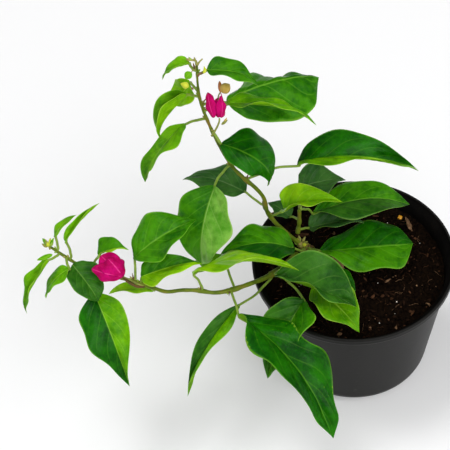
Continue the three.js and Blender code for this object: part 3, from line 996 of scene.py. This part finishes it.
def make_upper_bloom(materials):
    """A narrow hanging bloom, with a tan bud above it and two small buds below."""
    at = places_from(middle_of("bloom_upper"))
    parts = Parts()
    petal(parts, at(0.4, -5.2, -1.2), at(0.2, 5.0, -1.8), TOWARD, 7.0, 0.3, 0.08, 0.5, 0.05, 4)
    petal(parts, at(-1.9, -5.4), at(-4.9, 7.4, 0.6), TOWARD - 0.45 * RIGHT, 7.2, -0.5, 0.10, 0.46, 0.10, 5)
    petal(parts, at(2.0, -5.4, 0.4), at(1.8, 5.6, 1.0), TOWARD + 0.5 * RIGHT, 7.0, -0.5, 0.12, 0.42, 0.10, 6)
    stalk(parts, [at(2.4, 5.0, -1.5), at(1.9, 6.6, -1.5), at(1.6, 7.6, -1.5)], [0.3, 0.15], BACK)
    hanger = [at(-3.0, -14.5, -3), at(-0.5, -10.5, -1), at(0.8, -7.6), at(1.0, -5.6)]
    stalk(parts, hanger, [0.6, 0.4], THREAD)
    bud(parts, at(2.0, -8.8, -0.5), at(5.2, -6.5), 0.75, THREAD)
    bud(parts, at(3.0, -8.4, -0.5), at(4.8, -5.3), 0.6, TAN)
    stalk(parts, [at(0.0, 2, -2), at(0.5, 5.8, -1), at(1.5, 7.6)], [0.35, 0.35], THREAD)
    round_bud = (0.3, 0.8, 1.0, 1.0, 0.9, 0.6, 0.1)
    bud(parts, at(1.9, 7.7), at(6.2, 11.6, 0.5), 2.7, TAN, round_bud, sides=18)
    petal(parts, at(1.7, 7.4, 0.5), at(1.0, 13.2, 0.5), TOWARD, 2.6, -0.6, 0.12, slots=(RED, RED))
    parts.piece("bloom_upper_bracts", materials, "bract", ["bloom_upper"])


def make_blooms():
    """Each bloom is three papery bracts, with small tube flowers or buds, on thin stalks from the stem."""
    materials = [
        bract_material("bract_face", (0.32, 0.0004, 0.060), (0.48, 0.0005, 0.125), (0.80, 0.05, 0.28)),
        bract_material("bract_back", (0.28, 0.0004, 0.065), (0.40, 0.0008, 0.12), (0.70, 0.07, 0.28)),
        sprout_material("bloom_stalk", (0.12, 0.14, 0.02), (0.26, 0.28, 0.06)),
        sprout_material("bloom_tube", (0.05, 0.04, 0.008), (0.12, 0.06, 0.015)),
        sprout_material("bud_tan", (0.36, 0.24, 0.03), (0.55, 0.38, 0.10)),
        sprout_material("bud_red", (0.33, 0.09, 0.03), (0.50, 0.20, 0.07)),
    ]
    make_left_bloom(materials)
    make_upper_bloom(materials)


# ---- growing tips and buds ----
GREEN, OLIVE, BROWN_BUD, YELLOW = range(2, 6)
THORNY = ("leaf_upper_11", "leaf_upper_12", "leaf_left_03", "leaf_left_05", "leaf_left_07", "leaf_upper_07")
CROWN_BUDS = 7


def make_upper_tip(materials, end):
    """Stub twigs with buds, a round young leaflet, a yellow one and a yellow bud, round the stem's end."""
    at = places_from(end)
    parts = Parts()
    stalk(parts, [at(0, -1), at(-0.6, 1.2), at(-2.3, 1.6), at(-3.6, 1.5)], [0.75, 0.6, 0.45], OLIVE)
    bud(parts, at(-3.0, 1.4), at(-5.6, 2.3), 0.75, OLIVE)
    bud(parts, at(-2.4, 1.2), at(-4.2, 3.2), 0.6, GREEN)
    bud(parts, at(-0.9, 0.9), at(-1.2, 3.0, 1), 0.6, OLIVE)
    stalk(parts, [at(0.2, -1.2), at(1.2, 0.5), at(2.9, 2.3)], [0.6, 0.35], OLIVE)
    petal(parts, at(-2.6, -4.4, -1), at(-5.9, -7.4, -1), TOWARD, 4.6, widest=0.5)
    stalk(parts, [at(-0.4, -2.6, -0.5), at(-2, -3.3, -1), at(-2.8, -4.6, -1)], [0.3, 0.25], OLIVE)
    stalk(parts, [at(0.4, -6.6), at(1.6, -5.2), at(3.2, -4.8)], [0.55, 0.45], BROWN_BUD)
    yellow = (YELLOW, YELLOW)
    petal(parts, at(3.2, -5.2), at(3.6, -1.4), TOWARD + RIGHT, 2.4, 0.4, 0.15, 0.4, slots=yellow)
    bud(parts, at(-1.0, -3.0), at(-1.8, 0.2, 0.6), 0.5, BROWN_BUD)
    bud(parts, at(-1.6, -13.2), at(-3.0, -12.0, 0.5), 0.5, BROWN_BUD)
    bud(parts, at(-4.0, -11.8, 0.3), at(-8.0, -10.2, 0.6), 1.7, YELLOW)
    parts.piece("tip_upper_buds", materials, "young_tip", ["tip_upper"])


def make_left_tip(materials, end):
    """A rosette of buds and three narrow leaflets on the end of the stem."""
    at = places_from(end)
    parts = Parts()
    for x, y, z, radius, kind in (
        (-2.8, 4.2, 0.5, 1.1, OLIVE),
        (0.6, 4.6, 0.3, 0.9, YELLOW),
        (-4.2, 1.4, 0.0, 0.9, OLIVE),
        (2.4, 3.0, 0.8, 0.8, GREEN),
        (-0.9, 2.2, 1.8, 1.0, YELLOW),
    ):
        bud(parts, at(0.25 * x, 0.2 * y - 0.8, 0.2 * z), at(x, y, z), radius, kind)
    petal(parts, at(-0.5, 0), at(-3.6, 4.4, 0.5), TOWARD, 2.2, 0.5, 0.15)
    petal(parts, at(0.5, 0), at(2.6, 4.6, 0.5), TOWARD, 1.9, 0.5, 0.15)
    petal(parts, at(1.8, -4.6), at(-6.7, -7.7, 0.5), TOWARD, 3.0, 0.4, 0.1, 0.4, 0.05, 15)
    stalk(parts, [at(0.6, -1.6, -0.5), at(0, 0)], [0.8, 0.6], OLIVE)
    parts.piece("tip_left_buds", materials, "young_tip", ["tip_left"])


def make_node(parts, draw, node, stems):
    """A bud in the crook of a leaf, a collar under it, and a curved thorn where the leaf is a thorny one."""
    foot, rings, _ = read_rings(node, STEM_POINTS)
    heading = unit(rings[1].mean(axis=0) - foot)
    centres, radii = min(stems, key=lambda stem: norm(stem[0] - foot, axis=1).min())
    row = int(norm(centres - foot, axis=1).argmin())
    row = min(max(row, 1), len(centres) - 3)
    centre, radius = centres[row], radii[row]
    along = unit(centres[row + 1] - centres[row - 1])
    out = unit(heading - along * (heading @ along))
    start = centre + out * radius * 0.7 + along * 1.1 * MM
    end = start + (0.8 * out + along) * draw.uniform(1.1, 1.9) * MM
    bud(parts, start, end, 0.62, draw.choice((GREEN, OLIVE, OLIVE)))
    collar = [centre + along * shift * MM for shift in (-0.9, -0.2, 0.6)]
    parts.add(*tube(collar, [radius * 1.02, radius * 1.22, radius * 1.02], 16), BROWN_BUD)
    if node in THORNY:
        side = unit(out + 0.5 * along + [0, 0, 0.6])
        base = centre + side * radius * 0.5
        thorn = [base, base + side * 2.5 * MM, base + (side * 5.5 - [0, 0, 0.8]) * MM]
        stalk(parts, thorn, [0.55, 0.4, 0.06], BROWN_BUD)


def make_nodes(materials, stems):
    """What grows at every leaf's foot, and a tuft of buds on the trunk."""
    draw = random.Random(23)
    parts = Parts()
    for node in LEAF_NAMES:
        make_node(parts, draw, node, stems)
    crown = stems[0][0][-2]
    for k in range(CROWN_BUDS):
        turn = 2.4 * k
        out = np.array([math.cos(turn), math.sin(turn), 0.9])
        base = crown + out * [1, 1, 0.3] * 1.4 * MM
        tip = base + out * draw.uniform(1.8, 3.2) * MM
        bud(parts, base, tip, draw.uniform(0.8, 1.2), draw.choice((GREEN, OLIVE, YELLOW)))
    parts.piece("stem_buds", materials, "young_tip")


# ---- the plant ----
# Each palette is a leaf's dark mottle, light mottle and veins.
PALETTES = {
    "deep": ((0.0015, 0.042, 0.0005), (0.012, 0.125, 0.0005), (0.10, 0.30, 0.015)),
    "mid": ((0.008, 0.090, 0.0005), (0.050, 0.220, 0.0008), (0.17, 0.42, 0.03)),
    "dusk": ((0.008, 0.060, 0.003), (0.035, 0.140, 0.008), (0.15, 0.32, 0.05)),
    "fresh": ((0.045, 0.19, 0.0005), (0.14, 0.38, 0.001), (0.32, 0.56, 0.05)),
    "pale": ((0.12, 0.33, 0.0008), (0.25, 0.50, 0.003), (0.46, 0.66, 0.08)),
    "grey": ((0.015, 0.065, 0.010), (0.04, 0.12, 0.020), (0.12, 0.23, 0.07)),
    # The next palette is a painted sheen: a pale grey-green that stands for the gloss on one half of a leaf.
    "silver": ((0.06, 0.24, 0.008), (0.20, 0.42, 0.06), (0.35, 0.52, 0.15)),
}
FACE_ROUGHNESS, BACK_ROUGHNESS = 0.36, 0.55

# How each leaf differs from its CAD blade, and which palette each leaf, or each half of it, has.
LEAF_SHAPES = {
    "upper_02": dict(right=1.3),
    "upper_03": dict(lift_left=-50, lift_right=50, left=1.2, right=1.2),
    "upper_04": dict(left=0.7, right=0.7, lift_left=20, lift_right=20),
    "upper_05": dict(left=0.62, right=0.42, end_left=1.3, end_right=1.5, wave=0.12, ripple=0.2),
    "upper_07": dict(end_right=1.5),
    "upper_08": dict(left=1.12, right=0.45, end_right=0.4, lift_right=30),
    "upper_11": dict(right=0.4, end_left=0.3, end_right=2.4),
    "crown_02": dict(end_left=0.75, end_right=0.8),
    "crown_04": dict(ripple=0.02),
    "crown_08": dict(left=1.35, right=0.95, lift_left=25, lift_right=25),
    "left_01": dict(right=0.6),
    "left_02": dict(left=0.6, right=0.6, end_left=0.6, end_right=0.5, wave=0.14),
    "left_03": dict(wave=0.16, end_right=0.85, ripple=0.24),
    "left_05": dict(left=1.2, right=1.2),
    "left_06": dict(left=0.85, right=1.5),
    "left_09": dict(left=1.1, right=1.3, end_left=0.45, end_right=0.8, wave=0.12, ripple=0.1),
    "left_10": dict(left=1.25, right=0.7),
    "left_11": dict(left=1.1, right=0.95),
    "left_12": dict(left=1.25, right=1.2),
    "left_13": dict(left=0.6, right=0.6, lift_left=30),
    "left_14": dict(left=0.8, right=0.8),
    "left_15": dict(left=0.65, right=0.65, wave=0.2, ripple=0.3),
}
# Where a leaf has two palettes, left/right, they paint light on one half and shade on the other.
LEAF_LOOKS = {
    "deep": "crown_07 left_03 upper_08",
    "deep/mid": "crown_04 crown_05",
    "mid": "upper_02 upper_07 left_07",
    "mid/dusk": "crown_02 crown_08",
    "dusk": "left_01 left_11",
    "fresh": "upper_01 upper_05 upper_06 crown_06 left_04 left_13 left_15 left_12 left_14",
    "pale": "upper_03 upper_12 left_05 left_08",
    "grey": "upper_09 crown_01 crown_03 crown_09",
    "mid/fresh": "upper_04",
    "fresh/deep": "left_09",
    "fresh/dusk": "left_02",
    "silver/mid": "upper_10",
    "deep/fresh": "upper_11",
    "mid/pale": "left_06 left_10",
}


def leaf_back(name, palette):
    """The material of a leaf's underside: its palette half faded to pale."""
    faded = [tuple((a + b) / 2 for a, b in zip(own, pale)) for own, pale in zip(palette, PALETTES["pale"])]
    return leaf_material(f"leaf_back_{name}", *faded, BACK_ROUGHNESS)


make_camera()
make_studio()

LEAF_FACES = {name: leaf_material(f"leaf_face_{name}", *PALETTES[name], FACE_ROUGHNESS) for name in PALETTES}
LEAF_BACKS = {name: leaf_back(name, PALETTES[name]) for name in PALETTES}
STALK = plain_material("leaf_stalk", ((0.13, 0.22, 0.02), (0.24, 0.36, 0.04)), 300, 0.5, 0.05)
for look, names in LEAF_LOOKS.items():
    for name in names.split():
        make_leaf(f"leaf_{name}", look, **LEAF_SHAPES.get(name, {}))

make_pot()
make_soil()

GREENS = (0.055, 0.095, 0.004), (0.13, 0.18, 0.010), (0.23, 0.13, 0.025)
BROWNS = (0.10, 0.08, 0.012), (0.24, 0.23, 0.03), (0.36, 0.26, 0.10)
STEM_GREEN = plain_material("stem_green", GREENS, 120, 0.5, 0.15, 0.15, 6.0, (0.3, 0.55, 0.72))
BARK = plain_material("trunk_bark", BROWNS, 220, 0.7, 0.3, 0.2, 6.0, (0.3, 0.5, 0.7))
STEMS = [
    make_stem("trunk", BARK, "bark", 0.35, slim=0.84),
    make_stem("stem_upper", STEM_GREEN, "green_stem", 0.16, slim=0.6),
    make_stem("stem_left", STEM_GREEN, "green_stem", 0.16, slim=0.76),
    make_stem("stem_side_shoot", STEM_GREEN, "green_stem", 0.16, slim=0.75),
]
make_blooms()

YOUNG = [
    LEAF_FACES["fresh"],
    LEAF_BACKS["fresh"],
    sprout_material("young_green", (0.15, 0.28, 0.02), (0.30, 0.45, 0.06), 0.55),
    sprout_material("young_olive", (0.16, 0.17, 0.03), (0.36, 0.33, 0.09)),
    sprout_material("young_brown", (0.07, 0.04, 0.015), (0.20, 0.11, 0.04), 0.65),
    sprout_material("young_yellow", (0.40, 0.47, 0.01), (0.60, 0.62, 0.06), 0.5),
]
make_upper_tip(YOUNG, STEMS[1][0][-2])
make_left_tip(YOUNG, STEMS[2][0][-2])
make_nodes(YOUNG, STEMS)
